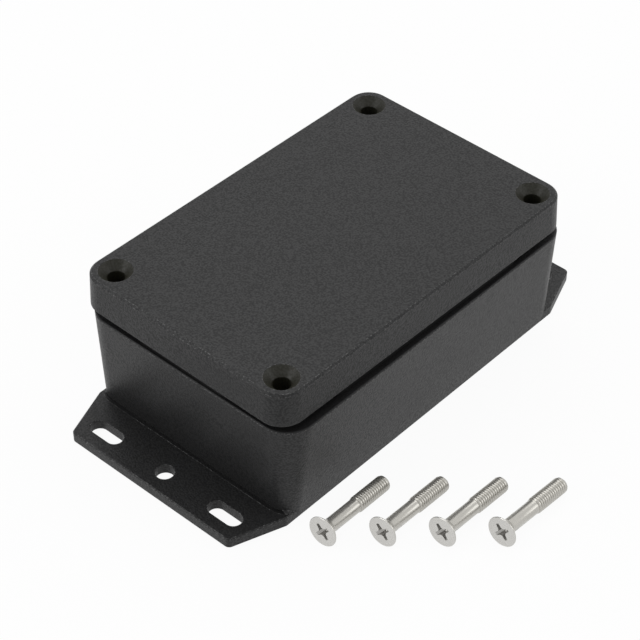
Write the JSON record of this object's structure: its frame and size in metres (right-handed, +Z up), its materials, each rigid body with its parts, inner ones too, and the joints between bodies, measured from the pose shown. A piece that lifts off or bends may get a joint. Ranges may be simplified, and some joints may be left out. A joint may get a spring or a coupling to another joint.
{
  "type": "flanged project box",
  "caption": "Small dark plastic project box with slotted end flanges, a gasketed lift-off lid with countersunk corner holes, and its countersunk lid screws laid beside it",
  "frame": {"origin": "middle of the flange slots, on the underside of the bottom plate", "axes": "+Z up out of the lid, +Y along the box from flange to flange, +X across it toward the laid screws"},
  "size_m": [0.1051, 0.1232, 0.0393],
  "materials": {
    "housing": "dark grey moulded plastic with a fine orange-peel grain",
    "seal": "smooth black rubber",
    "insert_brass": "turned brass",
    "screw_steel": "bright plated steel"
  },
  "bodies": {
    "root": {"base": "housing", "lid": "housing", "lid_gasket": "seal", "threaded_inserts": "insert_brass", "lid_screws": "screw_steel"}
  },
  "joints": []
}
